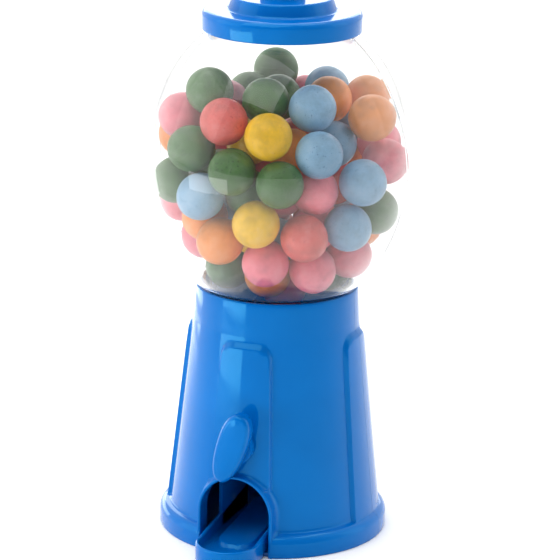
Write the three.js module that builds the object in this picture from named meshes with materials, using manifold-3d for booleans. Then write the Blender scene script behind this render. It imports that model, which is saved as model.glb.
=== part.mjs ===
// Toy gumball machine, millimetres, +Z up, front towards -Y.
// The origin is the middle of the underside of the bottom cover, on the table.
import * as THREE from 'three';
import { mergeVertices } from 'three/addons/utils/BufferGeometryUtils.js';
import Module from 'manifold-3d';

const wasm = await Module();
wasm.setup();

// ---------------------------------------------------------------- driving dimensions

const GAP = 0.3;              // clearance between pieces that touch on the real toy
const SEGMENTS = 32;          // facets round the base, globe and lid
const SMALL_SEGMENTS = 10;    // facets round screws and bores

// Base: a cone with a rolled foot, a raised panel on each of four sides and a straight neck.
const FOOT_RADIUS = 38.6;
const FOOT_EDGE_TOP = 4.4;
const FOOT_ROUND = 3.2;
const PANEL_RADIUS_AT_TABLE = 36.95;
const CONE_SLOPE = 0.1056;    // radius lost for each millimetre of height
const PANEL_PROUD = 1.3;      // how far a panel stands out of the cone
const PANEL_TOP = 69.7;
const PANEL_SHOULDER = 1.8;   // height of the sloped step above a panel
const PANEL_HALF_WIDTH_TOP = 8.8;
const PANEL_HALF_WIDTH_FOOT = 12.4;
const SHELL_WALL = 1.6;
const NECK_BOTTOM = 71.5;
const RIM_TOP = 84.4;
const RIM_RADIUS = 27.3;
const RIM_BORE = 25.9;
const LEDGE_TOP = 73.5;       // ledge inside the neck that carries the hopper
const LEDGE_BORE = 23.4;

// Chute mouth: an arched hood with a flat face.
const ARCH_FACE_Y = -36.2;
const ARCH_HALF_WIDTH = 12.1;
const ARCH_CENTRE_Z = 13.8;
const ARCH_WALL = 1.3;
const ARCH_DEPTH = 6.2;

// Tray: a long trough under the drum that comes out through the arch.
const TRAY_HALF_WIDTH = 10.6;
const TRAY_NOSE_Y = -42;      // centre of the round front
const TRAY_BACK_Y = 0;
const TRAY_WALL = 1.4;
const TRAY_UNDERSIDE = 1.5;
const TRAY_FLOOR = 2.7;
const TRAY_RIM = 6.2;
const TRAY_RIM_BACK = 12.5;
const CHEEK_FRONT_Y = -23.6;    // the tall side walls start under the drum housing
const CHEEK_TOP = 21.8;
const RAMP_HALF_WIDTH = 6.6;
const RAMP_NOSE_Y = -32.6;
const RAMP_LOW = 3.6;
const RAMP_HIGH = 6.8;

// Dispensing drum and its handle turn together about one axis along Y.
const AXIS_Z = 37.4;
const DRUM_RADIUS = 15.8;
const DRUM_FRONT_Y = -23;
const DRUM_BACK_Y = 0;
const DRUM_HUB_RADIUS = 8;
const DRUM_HUB_FRONT_Y = -27.2;
const POCKET_Y = -11.5;       // also the line of the hopper's throat
const POCKET_RADIUS = 8.7;
const POCKET_FLOOR = -1;      // below the axis, so that one gumball sinks in whole
const JOURNAL_RADIUS = 3;
const JOURNAL_BACK_Y = 3.4;
const SHAFT_RADIUS = 3;
const SHAFT_FLAT = 2.2;       // distance from the axis to the shaft's flat
const SHAFT_FRONT_Y = -40.2;
const SHAFT_BACK_Y = -22;

const HUB_RADIUS = 5.9;
const HUB_BACK_Y = -34;
const GRIP_BACK_Y = -36.6;
const GRIP_FRONT_Y = -42.6;
const GRIP_HALF_LENGTH = 12.4;
const GRIP_HALF_WIDTH = 5;
const GRIP_RISE = 0.8;        // the grip's middle sits a little above the axis
const GRIP_LEAN = 17;         // degrees clockwise, seen from the front
const GRIP_BEVEL = 1.3;

const BUSHING_RADIUS = 4.6;
const BUSHING_FLANGE = 6.2;
const BUSHING_FRONT_Y = -33.4;
const BUSHING_FLANGE_FRONT_Y = -28.9;
const BUSHING_BACK_Y = -27.6;

// Housing round the drum.
const HOUSING_BORE = 16.3;
const HOUSING_RADIUS = 17.8;
const HOUSING_FRONT_Y = -23.6;
const HOUSING_END_Y = 0.3;
const HOUSING_BACK_Y = 1.8;
const LUG_X = 21.8;
const LUG_BACK_Y = -13.6;
const LUG_FRONT_Y = -15.6;
const LUG_BORE_DEPTH = 5.5;

// Hopper: a sloped dish with a throat down to the drum.
const THROAT_BORE = 9.2;
const THROAT_WALL = 1.4;
const THROAT_BOTTOM = 54.6;
const HOPPER_RADIUS = 25.4;
const HOPPER_RIM_BOTTOM = 73.8;
const HOPPER_RIM_TOP = 78.7;
const HOPPER_DISH_LOW = 68;
const HOPPER_DISH_HIGH = 76;

// Globe: half-width of the glass at a height is that of a flattened superellipse.
const GLOBE_RADIUS = 44.9;
const GLOBE_MIDDLE = 126.2;
const GLOBE_REACH = 51;       // height at which the curve would close on the axis
const GLOBE_POWER = 1.78;
const GLOBE_ROOT = 2.31;
const GLOBE_WALL = 1.3;
const GLOBE_STEPS = 12;
const GLOBE_SEAT = 85.2;
const GLOBE_TOP = 171.2;
const GLOBE_NECK_RADIUS = 25.6;
const GLOBE_NECK_BOTTOM = 79;
const GLOBE_COLLAR_RADIUS = 23.4;
const GLOBE_COLLAR_TOP = 175.6;

// Lid, a stepped cap with a knob.
const LID_RADIUS = 26.4;
const LID_BOTTOM = 170.5;
const LID_TOP = 177.4;
const LID_WALL = 1.5;
const LID_TIER_RADIUS = 17.8;
const LID_TIER_TOP = 181.6;
const KNOB_RADIUS = 7.6;
const KNOB_TOP = 190;

// Screws.
const SCREW_SHANK = 1.25;
const SCREW_BORE = 1.6;
const SCREW_HEAD = 2.7;
const SCREW_HEAD_HEIGHT = 1.6;
const HEAD_RECESS = 3.1;
const BOSS_RADIUS = 4.2;

const COVER_RADIUS = 36.6;
const COVER_THICKNESS = 1.2;
const COVER_PAD_TOP = 3;
const COVER_SCREW_RADIUS = 30.6;
const COVER_SCREW_ANGLES = [90, 210, 330];

// Shell screws run front to back: [x, z] of each, in mirrored pairs.
const SHELL_SCREWS = [[-21.5, 62], [21.5, 62], [-25.5, 21], [25.5, 21]];
const SHELL_SCREW_HEAD_Y = 11;
const SHELL_SCREW_TIP_Y = -9;

const GUMBALL_RADIUS = 7.7;

// Gumballs that show through the glass, nearest to the front first: colour, azimuth in degrees
// from the front (positive to the right), height, and distance from the globe's axis.
const GUMBALLS = [
  ['green', 21, 127, 35], ['yellow', 8, 113, 33], ['coral', 36, 108, 32], ['orange', -18, 105, 30],
  ['yellow', 14, 142, 33], ['coral', -15, 145, 31], ['green', -5, 130, 35], ['blue', -26, 120, 35],
  ['pink', 12, 98, 27], ['blue', 70, 125, 36], ['blue', 65, 110, 32], ['pink', 49, 95, 24],
  ['blue', 42, 136, 34], ['green', -36, 134, 34], ['blue', 45, 149, 24], ['green', 6, 150, 18],
  ['orange', 90, 144, 32], ['pink', -63, 142, 33], ['pink', 47, 122, 26], ['blue', 88, 134, 19],
  ['pink', 94, 96, 25], ['green', -41, 152, 26], ['pink', -77, 145, 18], ['orange', 116, 147, 16],
  ['orange', 130, 146, 31], ['green', -126, 145, 19], ['orange', -48, 109, 26], ['green', -56, 91, 17],
  ['pink', -84, 98, 26], ['pink', -75, 112, 33], ['green', -55, 121, 35], ['orange', -85, 133, 35],
  ['pink', 102, 128, 35], ['green', 101, 111, 33], ['orange', 126, 103, 29], ['pink', 127, 131, 35],
];

// ---------------------------------------------------------------- solids

const COLOURS = {
  blue: 0x0a73d8, clear: 0xe8f2f5, inner: 0x0d63bd, white: 0xe9e9e4, steel: 0xb9bcc0,
};
const GUMBALL_COLOURS = {
  green: 0x3f6b3c, coral: 0xd9606a, pink: 0xd97891, orange: 0xe08a3c, yellow: 0xeec12f, blue: 0x7fa5cd,
};

function material(colour, roughness, metalness = 0) {
  return new THREE.MeshStandardMaterial({ color: colour, roughness, metalness });
}

function signedVolume(positions, triangles) {
  const a = new THREE.Vector3();
  const b = new THREE.Vector3();
  const c = new THREE.Vector3();
  let volume = 0;
  for (let i = 0; i < triangles.length; i += 3) {
    a.fromArray(positions, 3 * triangles[i]);
    b.fromArray(positions, 3 * triangles[i + 1]);
    c.fromArray(positions, 3 * triangles[i + 2]);
    volume += a.dot(b.cross(c)) / 6;
  }
  return volume;
}

// A closed geometry as a solid, with shared vertices merged and faces turned outwards.
function solid(geometry) {
  const bare = geometry.clone();
  bare.deleteAttribute('normal');
  bare.deleteAttribute('uv');
  const merged = mergeVertices(bare, 1e-4);
  const positions = merged.attributes.position.array;
  const triangles = [];
  for (let i = 0; i < merged.index.count; i += 3) {
    const [a, b, c] = [0, 1, 2].map((k) => merged.index.getX(i + k));
    if (a !== b && b !== c && c !== a) triangles.push(a, b, c);
  }
  if (signedVolume(positions, triangles) < 0) triangles.reverse();
  return new wasm.Manifold(new wasm.Mesh({
    numProp: 3,
    vertProperties: new Float32Array(positions),
    triVerts: new Uint32Array(triangles),
  }));
}

function geometryOf(body) {
  const mesh = body.getMesh();
  const geometry = new THREE.BufferGeometry();
  geometry.setAttribute('position', new THREE.BufferAttribute(new Float32Array(mesh.vertProperties), 3));
  geometry.setIndex(new THREE.BufferAttribute(new Uint32Array(mesh.triVerts), 1));
  geometry.computeVertexNormals();
  return geometry;
}

function join(...bodies) {
  return bodies.reduce((whole, body) => whole.add(body));
}

function cut(body, ...tools) {
  return tools.reduce((left, tool) => left.subtract(tool), body);
}

// A profile of [radius, height] turned round Z; it starts and ends on the axis or closes on itself.
function turned(profile, segments = SEGMENTS) {
  const points = profile.map(([radius, height]) => new THREE.Vector2(radius, height));
  return new THREE.LatheGeometry(points, segments).rotateX(Math.PI / 2);
}

function ring(inner, outer, bottom, top, segments = SEGMENTS) {
  return turned([[inner, bottom], [outer, bottom], [outer, top], [inner, top], [inner, bottom]], segments);
}

function rod(radius, bottom, top, segments = SMALL_SEGMENTS) {
  return turned([[0, bottom], [radius, bottom], [radius, top], [0, top]], segments);
}

// The same turned shape laid along Y: the height of its profile becomes the Y of the piece.
function alongY(geometry, x = 0, z = 0) {
  return geometry.rotateX(-Math.PI / 2).translate(x, 0, z);
}

function box(low, high) {
  const size = high.map((value, i) => value - low[i]);
  const middle = high.map((value, i) => (value + low[i]) / 2);
  return new THREE.BoxGeometry(...size).translate(...middle);
}

// An outline in X and Y, raised from one height to another.
function raised(shape, bottom, top) {
  const settings = { depth: top - bottom, bevelEnabled: false, curveSegments: 12 };
  return new THREE.ExtrudeGeometry(shape, settings).translate(0, 0, bottom);
}

// An outline in X and Z, pushed along Y from front to back.
function pushed(shape, front, back) {
  const settings = { depth: back - front, bevelEnabled: false, curveSegments: 12 };
  return new THREE.ExtrudeGeometry(shape, settings).rotateX(Math.PI / 2).translate(0, back, 0);
}

function arc(centreX, centreY, radius, fromDegrees, toDegrees, steps) {
  const points = [];
  for (let i = 0; i <= steps; i += 1) {
    const angle = THREE.MathUtils.degToRad(fromDegrees + (toDegrees - fromDegrees) * i / steps);
    points.push([centreX + radius * Math.cos(angle), centreY + radius * Math.sin(angle)]);
  }
  return points;
}

function outline(points) {
  return new THREE.Shape(points.map(([x, y]) => new THREE.Vector2(x, y)));
}

// ---------------------------------------------------------------- base shells

function panelRadius(height) {
  return PANEL_RADIUS_AT_TABLE - CONE_SLOPE * height;
}

function coneRadius(height) {
  return panelRadius(height) - PANEL_PROUD;
}

// Everything inside the outer skin of the cone, foot and neck.
function baseEnvelope(shrink = 0) {
  const roundCentre = FOOT_RADIUS - FOOT_ROUND;
  const footRound = arc(roundCentre - shrink, FOOT_EDGE_TOP, FOOT_ROUND, 0, 80, 4);
  const coneStart = FOOT_EDGE_TOP + FOOT_ROUND;
  return turned([
    [0, 0], [FOOT_RADIUS - shrink, 0], ...footRound,
    [coneRadius(coneStart) - shrink, coneStart + 0.4],
    [coneRadius(NECK_BOTTOM) - shrink, NECK_BOTTOM],
    [RIM_RADIUS - shrink, RIM_TOP - 0.5], [RIM_RADIUS - 0.5 - shrink, RIM_TOP], [0, RIM_TOP],
  ]);
}

function baseHollow() {
  const lip = 0.5;
  return turned([
    [0, -1], [COVER_RADIUS + GAP, -1], [COVER_RADIUS + GAP, FOOT_EDGE_TOP - lip],
    [coneRadius(FOOT_EDGE_TOP) - SHELL_WALL, FOOT_EDGE_TOP + FOOT_ROUND - lip],
    [coneRadius(LEDGE_TOP) - SHELL_WALL, LEDGE_TOP - 4],
    [RIM_BORE, LEDGE_TOP + 0.5], [RIM_BORE, RIM_TOP + 1], [0, RIM_TOP + 1],
  ]);
}

function panelFace(angleDegrees) {
  const corner = 2.2;
  const face = outline([
    [PANEL_HALF_WIDTH_FOOT, 2], [PANEL_HALF_WIDTH_TOP, PANEL_TOP - corner],
    ...arc(PANEL_HALF_WIDTH_TOP - corner, PANEL_TOP + PANEL_SHOULDER - corner, corner, 20, 90, 3),
    ...arc(corner - PANEL_HALF_WIDTH_TOP, PANEL_TOP + PANEL_SHOULDER - corner, corner, 90, 160, 3),
    [-PANEL_HALF_WIDTH_TOP, PANEL_TOP - corner], [-PANEL_HALF_WIDTH_FOOT, 2],
  ]);
  return pushed(face, -FOOT_RADIUS, -PANEL_HALF_WIDTH_FOOT).rotateZ(THREE.MathUtils.degToRad(angleDegrees));
}

function panels() {
  const bottom = FOOT_EDGE_TOP + 1;
  const shoulder = PANEL_TOP + PANEL_SHOULDER;
  const skin = solid(turned([
    [coneRadius(bottom) - SHELL_WALL / 2, bottom], [panelRadius(bottom), bottom],
    [panelRadius(PANEL_TOP), PANEL_TOP], [coneRadius(PANEL_TOP) - 0.1, shoulder],
    [coneRadius(PANEL_TOP) - SHELL_WALL / 2, shoulder], [coneRadius(bottom) - SHELL_WALL / 2, bottom],
  ]));
  const faces = [0, 90, 180, 270].map((angle) => solid(panelFace(angle)));
  return skin.intersect(join(...faces));
}

function ledge() {
  return solid(ring(LEDGE_BORE, RIM_BORE + 0.6, LEDGE_TOP - 1.5, LEDGE_TOP));
}

function archOutline(halfWidth, bottom) {
  return outline([
    [halfWidth, bottom], ...arc(0, ARCH_CENTRE_Z, halfWidth, 0, 180, 16), [-halfWidth, bottom],
  ]);
}

// The solids along each screw line: boss halves that meet at the seam between the shells.
function shellBosses(front) {
  const [from, to] = front ? [-FOOT_RADIUS, -GAP / 2] : [GAP / 2, FOOT_RADIUS];
  const bosses = SHELL_SCREWS.map(([x, z]) => solid(alongY(rod(BOSS_RADIUS, from, to), x, z)));
  return join(...bosses).intersect(solid(baseEnvelope()));
}

function shellScrewBores(front) {
  const tools = SHELL_SCREWS.map(([x, z]) => {
    if (front) return solid(alongY(rod(SCREW_BORE, SHELL_SCREW_TIP_Y - 1, 1), x, z));
    const shankBore = solid(alongY(rod(SCREW_BORE, -1, FOOT_RADIUS), x, z));
    return shankBore.add(solid(alongY(rod(HEAD_RECESS, SHELL_SCREW_HEAD_Y - GAP, FOOT_RADIUS), x, z)));
  });
  return join(...tools);
}

function coverScrewPlace(angleDegrees) {
  const angle = THREE.MathUtils.degToRad(angleDegrees);
  return [COVER_SCREW_RADIUS * Math.cos(angle), COVER_SCREW_RADIUS * Math.sin(angle)];
}

function coverBosses() {
  const bottom = COVER_PAD_TOP + GAP;
  const bosses = COVER_SCREW_ANGLES.map((angle) => {
    const [x, y] = coverScrewPlace(angle);
    return solid(rod(BOSS_RADIUS, bottom, 13).translate(x, y, 0));
  });
  const bores = COVER_SCREW_ANGLES.map((angle) => {
    const [x, y] = coverScrewPlace(angle);
    return solid(rod(SCREW_BORE, bottom - 1, 11.5).translate(x, y, 0));
  });
  return [join(...bosses).intersect(solid(baseEnvelope())), join(...bores)];
}

function lugBosses() {
  return [-LUG_X, LUG_X].map((x) => (
    solid(alongY(rod(BOSS_RADIUS - 0.8, -FOOT_RADIUS, LUG_FRONT_Y - GAP), x, AXIS_Z))
  ));
}

function lugBores() {
  return [-LUG_X, LUG_X].map((x) => (
    solid(alongY(rod(SCREW_BORE, LUG_FRONT_Y - LUG_BORE_DEPTH, LUG_FRONT_Y), x, AXIS_Z))
  ));
}

function hood() {
  const back = ARCH_FACE_Y + ARCH_DEPTH;
  return solid(pushed(archOutline(ARCH_HALF_WIDTH + ARCH_WALL, 0), ARCH_FACE_Y, back));
}

function archMouth() {
  return solid(pushed(archOutline(ARCH_HALF_WIDTH, -1), -FOOT_RADIUS - 5, ARCH_FACE_Y + ARCH_DEPTH + 1));
}

// The half of a body in front of the seam, or behind it.
function half(body, front) {
  const reach = 2 * FOOT_RADIUS;
  const [from, to] = front ? [-reach, -GAP / 2] : [GAP / 2, reach];
  return body.intersect(solid(box([-reach, from, -10], [reach, to, 300])));
}

function baseWall() {
  return join(cut(solid(baseEnvelope()), solid(baseHollow())), panels(), ledge());
}

// The cover's own space, kept free of the posts of the hood.
function coverSpace() {
  const front = ARCH_FACE_Y + 2 * GAP;
  const disc = solid(rod(COVER_RADIUS + GAP, -1, COVER_THICKNESS + GAP, SEGMENTS));
  return disc.intersect(solid(box([-50, front, -5], [50, 50, 5])));
}

function baseFrontShell() {
  const [bosses, bores] = coverBosses();
  const envelope = solid(baseEnvelope());
  const lugs = join(...lugBosses()).intersect(envelope);
  const shell = half(join(baseWall(), bosses, shellBosses(true), lugs, hood()), true);
  const shaftHole = solid(alongY(rod(BUSHING_RADIUS + GAP, -FOOT_RADIUS, -20, 24), 0, AXIS_Z));
  const flatFace = solid(box([-ARCH_HALF_WIDTH - ARCH_WALL, -50, -1],
    [ARCH_HALF_WIDTH + ARCH_WALL, ARCH_FACE_Y, ARCH_CENTRE_Z]));
  const screwBores = [bores, shellScrewBores(true), ...lugBores()];
  return cut(shell, archMouth(), coverSpace(), shaftHole, flatFace, ...screwBores);
}

function baseRearShell() {
  const [bosses, bores] = coverBosses();
  const shell = half(join(baseWall(), bosses, shellBosses(false)), false);
  return cut(shell, bores, shellScrewBores(false));
}

function bottomCover() {
  const pads = COVER_SCREW_ANGLES.map((angle) => {
    const [x, y] = coverScrewPlace(angle);
    return solid(rod(BOSS_RADIUS, 0, COVER_PAD_TOP).translate(x, y, 0));
  });
  const recesses = COVER_SCREW_ANGLES.map((angle) => {
    const [x, y] = coverScrewPlace(angle);
    const head = solid(rod(HEAD_RECESS, -1, SCREW_HEAD_HEIGHT + GAP).translate(x, y, 0));
    return head.add(solid(rod(SCREW_BORE, 0, COVER_PAD_TOP + 1).translate(x, y, 0)));
  });
  const frontTrim = solid(box([-30, -50, -1], [30, ARCH_FACE_Y + 3 * GAP, 9]));
  return cut(join(solid(rod(COVER_RADIUS, 0, COVER_THICKNESS, SEGMENTS)), ...pads), frontTrim, ...recesses);
}

// ---------------------------------------------------------------- tray

function troughOutline(halfWidth, back, noseY = TRAY_NOSE_Y) {
  return outline([[halfWidth, back], [-halfWidth, back], ...arc(0, noseY, halfWidth, 180, 360, 14)]);
}

// The side walls climb from the round front to the back.
function troughTopCut() {
  const climb = outline([
    [-60, TRAY_RIM], [TRAY_NOSE_Y, TRAY_RIM], [TRAY_BACK_Y + 1, TRAY_RIM_BACK],
    [TRAY_BACK_Y + 1, 40], [-60, 40],
  ]);
  const settings = { depth: 60, bevelEnabled: false };
  const wedge = new THREE.ExtrudeGeometry(climb, settings).translate(0, 0, -30);
  return solid(wedge.rotateX(Math.PI / 2).rotateZ(Math.PI / 2));
}

function ramp() {
  const halfWidth = RAMP_HALF_WIDTH;
  const block = solid(raised(troughOutline(halfWidth, TRAY_BACK_Y - 1, RAMP_NOSE_Y), TRAY_FLOOR - 0.5, 12));
  const noseFront = RAMP_NOSE_Y - halfWidth;
  const slope = outline([[noseFront - 5, RAMP_LOW], [noseFront, RAMP_LOW], [TRAY_BACK_Y, RAMP_HIGH],
    [TRAY_BACK_Y, 30], [noseFront - 5, 30]]);
  const wedge = new THREE.ExtrudeGeometry(slope, { depth: 60, bevelEnabled: false }).translate(0, 0, -30);
  return cut(block, solid(wedge.rotateX(Math.PI / 2).rotateZ(Math.PI / 2)));
}

// Two tall side walls that keep a falling gumball over the ramp.
function trayCheeks(inner) {
  const whole = box([-TRAY_HALF_WIDTH, CHEEK_FRONT_Y, TRAY_FLOOR], [TRAY_HALF_WIDTH, TRAY_BACK_Y, CHEEK_TOP]);
  const between = box([-inner, CHEEK_FRONT_Y - 1, 0], [inner, TRAY_BACK_Y + 1, CHEEK_TOP + 1]);
  return cut(solid(whole), solid(between));
}

function chuteTray() {
  const inner = TRAY_HALF_WIDTH - TRAY_WALL;
  const outer = solid(raised(troughOutline(TRAY_HALF_WIDTH, TRAY_BACK_Y), 0, TRAY_RIM_BACK));
  const bowl = solid(raised(troughOutline(inner, TRAY_BACK_Y - TRAY_WALL), TRAY_FLOOR, 40));
  const underNose = solid(raised(troughOutline(inner, ARCH_FACE_Y - TRAY_WALL), -1, TRAY_UNDERSIDE));
  const coverRelief = solid(box([-30, ARCH_FACE_Y + 0.5, -1], [30, 5, TRAY_UNDERSIDE]));
  const trough = cut(outer, bowl, underNose, coverRelief, troughTopCut());
  return join(trough, ramp(), trayCheeks(inner));
}

// ---------------------------------------------------------------- drum, shaft and handle

function shaftOutline(extra) {
  const radius = SHAFT_RADIUS + extra;
  const flat = SHAFT_FLAT + extra;
  const edge = THREE.MathUtils.radToDeg(Math.asin(flat / radius));
  return outline(arc(0, 0, radius, edge, edge - 360 + 2 * (90 - edge), 18).map(([x, z]) => [x, z + AXIS_Z]));
}

function dispensingDrum() {
  const core = join(
    solid(alongY(rod(DRUM_RADIUS, DRUM_FRONT_Y, DRUM_BACK_Y, 32), 0, AXIS_Z)),
    solid(alongY(rod(DRUM_HUB_RADIUS, DRUM_HUB_FRONT_Y, DRUM_FRONT_Y + 1, 24), 0, AXIS_Z)),
    solid(alongY(rod(JOURNAL_RADIUS, DRUM_BACK_Y - 1, JOURNAL_BACK_Y), 0, AXIS_Z)),
  );
  const pocketBottom = AXIS_Z + POCKET_FLOOR;
  const pocket = solid(rod(POCKET_RADIUS, pocketBottom, AXIS_Z + 30, 24).translate(0, POCKET_Y, 0));
  const bore = solid(pushed(shaftOutline(GAP), -40, SHAFT_BACK_Y + GAP));
  return cut(core, pocket, bore);
}

function handleShaft() {
  return solid(pushed(shaftOutline(0), SHAFT_FRONT_Y, SHAFT_BACK_Y));
}

function gripOutline(inset) {
  const points = [];
  const steps = 28;
  for (let i = 0; i < steps; i += 1) {
    const angle = 2 * Math.PI * i / steps;
    const [across, along] = [Math.cos(angle), Math.sin(angle)];
    const roundness = 2 / 2.3;
    points.push([
      (GRIP_HALF_WIDTH - inset) * Math.sign(across) * Math.abs(across) ** roundness,
      (GRIP_HALF_LENGTH - inset) * Math.sign(along) * Math.abs(along) ** roundness,
    ]);
  }
  return outline(points);
}

function turnHandle() {
  const depth = GRIP_BACK_Y - GRIP_FRONT_Y;
  const settings = {
    depth: depth - 2 * GRIP_BEVEL, bevelThickness: GRIP_BEVEL, bevelSize: GRIP_BEVEL, bevelSegments: 2,
  };
  const grip = new THREE.ExtrudeGeometry(gripOutline(GRIP_BEVEL), settings);
  grip.rotateX(Math.PI / 2).rotateY(THREE.MathUtils.degToRad(GRIP_LEAN));
  grip.translate(0, GRIP_BACK_Y - GRIP_BEVEL, AXIS_Z + GRIP_RISE);
  const hub = alongY(rod(HUB_RADIUS, GRIP_BACK_Y - 1, HUB_BACK_Y, 28), 0, AXIS_Z);
  const bore = pushed(shaftOutline(GAP), SHAFT_FRONT_Y - GAP, -20);
  return cut(join(solid(grip), solid(hub)), solid(bore));
}

function shaftBushing() {
  const bore = SHAFT_RADIUS + GAP;
  const sleeve = alongY(turned([
    [bore, BUSHING_FRONT_Y], [BUSHING_RADIUS, BUSHING_FRONT_Y], [BUSHING_RADIUS, BUSHING_FLANGE_FRONT_Y],
    [BUSHING_FLANGE, BUSHING_FLANGE_FRONT_Y], [BUSHING_FLANGE, BUSHING_BACK_Y], [bore, BUSHING_BACK_Y],
    [bore, BUSHING_FRONT_Y],
  ], 24), 0, AXIS_Z);
  return solid(sleeve);
}

function drumHousing() {
  const shell = alongY(rod(HOUSING_RADIUS, HOUSING_FRONT_Y, HOUSING_BACK_Y, 32), 0, AXIS_Z);
  const bore = alongY(rod(HOUSING_BORE, HOUSING_FRONT_Y - 1, HOUSING_END_Y, 32), 0, AXIS_Z);
  const journalHole = alongY(rod(JOURNAL_RADIUS + GAP, -1, 5), 0, AXIS_Z);
  const lugs = box([-LUG_X - 3.2, LUG_FRONT_Y, AXIS_Z - 3.2], [LUG_X + 3.2, LUG_BACK_Y, AXIS_Z + 3.2]);
  const lugHoles = [-LUG_X, LUG_X].map((x) => solid(alongY(rod(SCREW_BORE, -20, -10), x, AXIS_Z)));
  const inlet = rod(THROAT_BORE, AXIS_Z, 70, 24).translate(0, POCKET_Y, 0);
  const outlet = box([-POCKET_RADIUS - 0.6, HOUSING_FRONT_Y - 1, 0], [POCKET_RADIUS + 0.6, -2.2, AXIS_Z - 8]);
  return cut(join(solid(shell), solid(lugs)), solid(bore), solid(journalHole), ...lugHoles,
    solid(inlet), solid(outlet));
}

// ---------------------------------------------------------------- hopper and globe

function hopper() {
  const rim = solid(ring(HOPPER_RADIUS - 1.4, HOPPER_RADIUS, HOPPER_RIM_BOTTOM, HOPPER_RIM_TOP));
  const reach = 40;
  const dish = solid(turned([
    [THROAT_BORE, HOPPER_DISH_LOW], [reach, HOPPER_DISH_HIGH + 1.6], [reach, HOPPER_DISH_HIGH + 3.2],
    [THROAT_BORE, HOPPER_DISH_LOW + 1.6], [THROAT_BORE, HOPPER_DISH_LOW],
  ], 24).translate(0, POCKET_Y, 0)).intersect(solid(rod(LEDGE_BORE - GAP, 60, 90, SEGMENTS)));
  const flange = solid(ring(LEDGE_BORE - 2.4, HOPPER_RADIUS, HOPPER_RIM_BOTTOM, HOPPER_RIM_BOTTOM + 1.6));
  const throat = solid(ring(THROAT_BORE, THROAT_BORE + THROAT_WALL, THROAT_BOTTOM, HOPPER_DISH_LOW + 1.2, 24)
    .translate(0, POCKET_Y, 0));
  const skirt = solid(ring(LEDGE_BORE - 2.4, LEDGE_BORE - GAP, HOPPER_DISH_LOW, HOPPER_RIM_BOTTOM + 1.2));
  const throatBore = solid(rod(THROAT_BORE, 40, 90, 24).translate(0, POCKET_Y, 0));
  const housing = solid(alongY(rod(HOUSING_RADIUS + GAP, -30, 5, 32), 0, AXIS_Z));
  return cut(join(rim, flange, dish, skirt, throat), throatBore, housing);
}

function globeRadius(height) {
  const rise = Math.abs((height - GLOBE_MIDDLE) / GLOBE_REACH) ** GLOBE_POWER;
  return GLOBE_RADIUS * (1 - rise) ** (1 / GLOBE_ROOT);
}

// Points down the glass from neck to collar, set in from its outside by a distance along the normal.
function globeCurve(inset, steps) {
  const points = [];
  for (let i = 0; i <= steps; i += 1) {
    const rise = (1 - Math.cos(Math.PI * i / steps)) / 2;
    const height = GLOBE_SEAT + (GLOBE_TOP - GLOBE_SEAT) * rise;
    const slope = (globeRadius(height + 0.5) - globeRadius(height - 0.5));
    const length = Math.hypot(1, slope);
    points.push([globeRadius(height) - inset / length, height + inset * slope / length]);
  }
  return points;
}

function globe() {
  const neckBore = GLOBE_NECK_RADIUS - GLOBE_WALL;
  const collarBore = GLOBE_COLLAR_RADIUS - GLOBE_WALL;
  return solid(turned([
    [neckBore, GLOBE_NECK_BOTTOM], [GLOBE_NECK_RADIUS, GLOBE_NECK_BOTTOM], [GLOBE_NECK_RADIUS, GLOBE_SEAT],
    ...globeCurve(0, GLOBE_STEPS),
    [GLOBE_COLLAR_RADIUS, GLOBE_TOP + 0.2], [GLOBE_COLLAR_RADIUS, GLOBE_COLLAR_TOP],
    [collarBore, GLOBE_COLLAR_TOP], [collarBore, GLOBE_TOP],
    ...globeCurve(GLOBE_WALL, GLOBE_STEPS).slice(1, -1).reverse(),
    [neckBore, GLOBE_SEAT], [neckBore, GLOBE_NECK_BOTTOM],
  ], 32));
}

// ---------------------------------------------------------------- lid

function lid() {
  const round = 2;
  const step = 0.6;
  const tierTop = LID_TIER_RADIUS - 1.1;
  const tierRoof = LID_TIER_TOP - LID_WALL;
  return solid(turned([
    [SCREW_BORE, tierRoof], [tierTop - LID_WALL, tierRoof], [LID_TIER_RADIUS - LID_WALL, LID_TOP - LID_WALL],
    [LID_RADIUS - LID_WALL, LID_TOP - LID_WALL], [LID_RADIUS - LID_WALL, LID_BOTTOM],
    [LID_RADIUS, LID_BOTTOM],
    ...arc(LID_RADIUS - round, LID_TOP - round, round, 0, 90, 3),
    [LID_TIER_RADIUS + step, LID_TOP], [LID_TIER_RADIUS, LID_TOP + step],
    ...arc(tierTop - 1, LID_TIER_TOP - 1, 1, 10, 90, 2),
    [SCREW_BORE, LID_TIER_TOP], [SCREW_BORE, tierRoof],
  ]));
}

function lidKnob() {
  const bottom = LID_TIER_TOP + GAP;
  const dome = arc(KNOB_RADIUS - 3, KNOB_TOP - 3, 3, 0, 80, 3);
  return solid(turned([
    [0, bottom + 5.5], [SCREW_BORE, bottom + 5.5], [SCREW_BORE, bottom], [KNOB_RADIUS, bottom],
    ...dome, [0, KNOB_TOP],
  ], 24));
}

// ---------------------------------------------------------------- screws

// A pan-head screw along Z with its head's underside at a height; the shank points up or down.
function screw(headUnderside, tip, headRadius = SCREW_HEAD) {
  const up = Math.sign(tip - headUnderside);
  const headTop = headUnderside - up * SCREW_HEAD_HEIGHT;
  return turned([
    [0, headTop], [headRadius - 0.5, headTop], [headRadius, headTop + up * 0.5], [headRadius, headUnderside],
    [SCREW_SHANK, headUnderside], [SCREW_SHANK, tip - up], [0, tip],
  ], SMALL_SEGMENTS);
}

// ---------------------------------------------------------------- gumballs

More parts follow.
